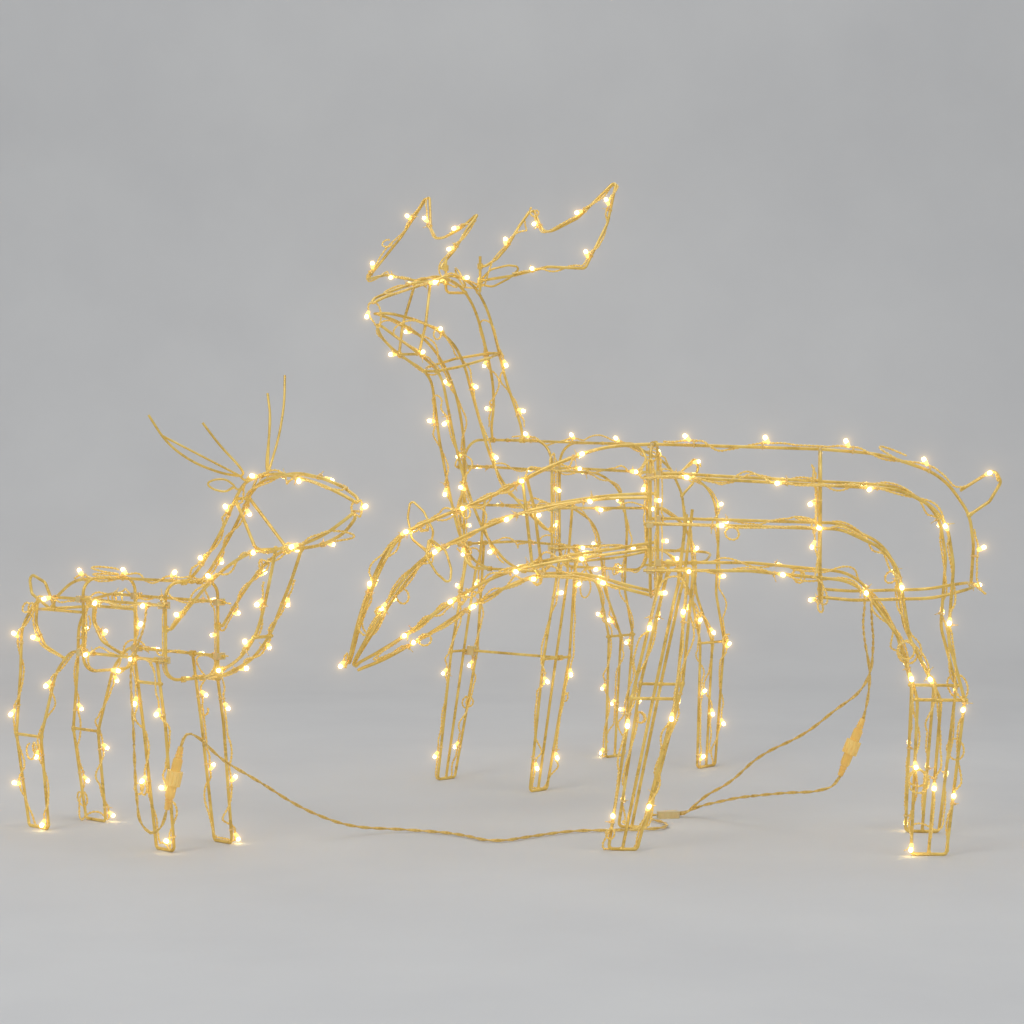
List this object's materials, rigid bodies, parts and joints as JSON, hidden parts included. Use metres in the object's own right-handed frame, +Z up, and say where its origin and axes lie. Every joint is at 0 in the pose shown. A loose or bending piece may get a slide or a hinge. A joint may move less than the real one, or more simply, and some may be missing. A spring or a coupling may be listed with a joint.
{
  "type": "light up yard reindeer",
  "caption": "Group of wire-frame lawn deer wound with small warm lamps: an antlered male, a grazing female and a young one, joined by one low-voltage lead.",
  "frame": {"origin": "point on the ground under the middle of the whole group's outline", "axes": "+Z up, +X along the row towards the grazing deer's tail, +Y towards the back where the antlered deer stands"},
  "size_m": [1.2514, 1.1632, 0.8534],
  "materials": {
    "frame_paint": "satin champagne enamel on steel wire",
    "lamp_lens": "moulded clear lens, lit warm white",
    "string_sleeve": "clear sleeve over fine copper strands",
    "cord_sleeve": "clear sleeve over stranded copper",
    "clip_plastic": "milky moulded plastic",
    "coupling_body": "translucent straw plastic",
    "coupling_collar": "translucent straw plastic, knurled",
    "contact_brass": "bright"
  },
  "bodies": {
    "group_frames": {"doe_body_lamps": "lamp_lens", "doe_centre_frame": "frame_paint", "doe_coupling_socket": "coupling_body", "doe_frame_clips": "clip_plastic", "doe_left_side_frame": "frame_paint", "doe_light_string": "string_sleeve", "doe_right_side_frame": "frame_paint", "fawn_body_lamps": "lamp_lens", "fawn_centre_frame": "frame_paint", "fawn_coupling_socket": "coupling_body", "fawn_frame_clips": "clip_plastic", "fawn_left_side_frame": "frame_paint", "fawn_light_string": "string_sleeve", "fawn_right_side_frame": "frame_paint", "lead_cords": "cord_sleeve", "lead_splitter": "clip_plastic", "stag_body_lamps": "lamp_lens", "stag_centre_frame": "frame_paint", "stag_frame_clips": "clip_plastic", "stag_left_side_frame": "frame_paint", "stag_light_string": "string_sleeve", "stag_right_side_frame": "frame_paint"},
    "doe_left_front_leg": {"doe_left_front_leg": "frame_paint", "doe_left_leg_lamps": "lamp_lens"},
    "doe_right_front_leg": {"doe_right_front_leg": "frame_paint", "doe_right_leg_lamps": "lamp_lens"},
    "doe_head": {"doe_neck_and_head_frame": "frame_paint", "doe_ears": "frame_paint", "doe_head_lamps": "lamp_lens"},
    "stag_left_front_leg": {"stag_left_front_leg": "frame_paint", "stag_left_leg_lamps": "lamp_lens"},
    "stag_right_front_leg": {"stag_right_front_leg": "frame_paint", "stag_right_leg_lamps": "lamp_lens"},
    "stag_head": {"stag_neck_and_head_frame": "frame_paint", "stag_ears": "frame_paint", "stag_head_lamps": "lamp_lens"},
    "fawn_left_front_leg": {"fawn_left_front_leg": "frame_paint", "fawn_left_leg_lamps": "lamp_lens"},
    "fawn_right_front_leg": {"fawn_right_front_leg": "frame_paint", "fawn_right_leg_lamps": "lamp_lens"},
    "fawn_head": {"fawn_neck_and_head_frame": "frame_paint", "fawn_ears": "frame_paint", "fawn_head_lamps": "lamp_lens", "fawn_antlers": "frame_paint"},
    "stag_left_antler": {"stag_left_antler": "frame_paint", "stag_left_antler_lamps": "lamp_lens"},
    "stag_right_antler": {"stag_right_antler": "frame_paint", "stag_right_antler_lamps": "lamp_lens"},
    "stag_spreader": {"stag_leg_spreader": "frame_paint", "stag_spreader_clip": "clip_plastic"},
    "doe_plug": {"doe_coupling_plug": "coupling_body", "doe_coupling_pins": "contact_brass"},
    "doe_nut": {"doe_coupling_nut": "coupling_collar"},
    "fawn_plug": {"fawn_coupling_plug": "coupling_body", "fawn_coupling_pins": "contact_brass"},
    "fawn_nut": {"fawn_coupling_nut": "coupling_collar"}
  },
  "joints": [
    {"name": "doe_left_leg_swing", "type": "hinge", "parent": "group_frames", "child": "doe_left_front_leg", "pos_m": [0.22133, -0.39216, 0.342], "axis": [-0.9945, 0.1045, 0], "range_deg": [0, 55], "deforming": ["doe_light_string"]},
    {"name": "doe_right_leg_swing", "type": "hinge", "parent": "group_frames", "child": "doe_right_front_leg", "pos_m": [0.24056, -0.20917, 0.342], "axis": [0.9945, -0.1045, 0], "range_deg": [0, 55], "deforming": ["doe_light_string"]},
    {"name": "doe_head_tilt", "type": "hinge", "parent": "group_frames", "child": "doe_head", "pos_m": [0.20111, -0.29753, 0.494], "axis": [0.1045, 0.9945, 0], "range_deg": [0, 60], "deforming": ["doe_light_string"]},
    {"name": "stag_left_leg_swing", "type": "hinge", "parent": "group_frames", "child": "stag_left_front_leg", "pos_m": [0.10463, 0.1925, 0.342], "axis": [-0.6921, -0.7218, 0], "range_deg": [0, 55], "deforming": ["stag_light_string"]},
    {"name": "stag_right_leg_swing", "type": "hinge", "parent": "group_frames", "child": "stag_right_front_leg", "pos_m": [-0.02817, 0.31986, 0.342], "axis": [0.6921, 0.7218, 0], "range_deg": [0, 55], "deforming": ["stag_light_string"]},
    {"name": "stag_head_tilt", "type": "hinge", "parent": "group_frames", "child": "stag_head", "pos_m": [0.01747, 0.23453, 0.494], "axis": [-0.7218, 0.6921, 0], "range_deg": [0, 35], "deforming": ["stag_light_string"]},
    {"name": "fawn_left_leg_swing", "type": "hinge", "parent": "group_frames", "child": "fawn_left_front_leg", "pos_m": [-0.35959, -0.29869, 0.232], "axis": [0.7071, -0.7071, 0], "range_deg": [0, 55], "deforming": ["fawn_light_string"]},
    {"name": "fawn_right_leg_swing", "type": "hinge", "parent": "group_frames", "child": "fawn_right_front_leg", "pos_m": [-0.42323, -0.36233, 0.232], "axis": [-0.7071, 0.7071, 0], "range_deg": [0, 55], "deforming": ["fawn_light_string"]},
    {"name": "fawn_head_tilt", "type": "hinge", "parent": "group_frames", "child": "fawn_head", "pos_m": [-0.36808, -0.35384, 0.326], "axis": [-0.7071, -0.7071, 0], "range_deg": [0, 35], "deforming": ["fawn_light_string"]},
    {"name": "stag_left_antler_turn", "type": "hinge", "parent": "stag_head", "child": "stag_left_antler", "pos_m": [-0.02028, 0.14603, 0.728], "axis": [0, 0, -1], "range_deg": [0, 45], "deforming": ["stag_light_string"]},
    {"name": "stag_right_antler_turn", "type": "hinge", "parent": "stag_head", "child": "stag_right_antler", "pos_m": [-0.06936, 0.1931, 0.728], "axis": [0, 0, 1], "range_deg": [0, 45], "deforming": ["stag_light_string"]},
    {"name": "stag_spreader_swing", "type": "hinge", "parent": "stag_left_front_leg", "child": "stag_spreader", "pos_m": [0.09218, 0.17951, 0.186], "axis": [-0.6921, -0.7218, 0], "range_deg": [0, 60]},
    {"name": "doe_plug_pull", "type": "slide", "parent": "group_frames", "child": "doe_plug", "axis": [0.3692, 0, 0.9294], "range_m": [0, 0.02], "deforming": ["lead_cords"]},
    {"name": "doe_nut_twist", "type": "hinge", "parent": "doe_plug", "child": "doe_nut", "pos_m": [0.45169, -0.26721, 0.11224], "axis": [0.3692, 0, 0.9294], "range_deg": [0, 90]},
    {"name": "fawn_plug_pull", "type": "slide", "parent": "group_frames", "child": "fawn_plug", "axis": [0.2239, 0, 0.9746], "range_m": [0, 0.02], "deforming": ["lead_cords"]},
    {"name": "fawn_nut_twist", "type": "hinge", "parent": "fawn_plug", "child": "fawn_nut", "pos_m": [-0.38198, -0.42721, 0.09401], "axis": [0.2239, 0, 0.9746], "range_deg": [0, 90]}
  ]
}
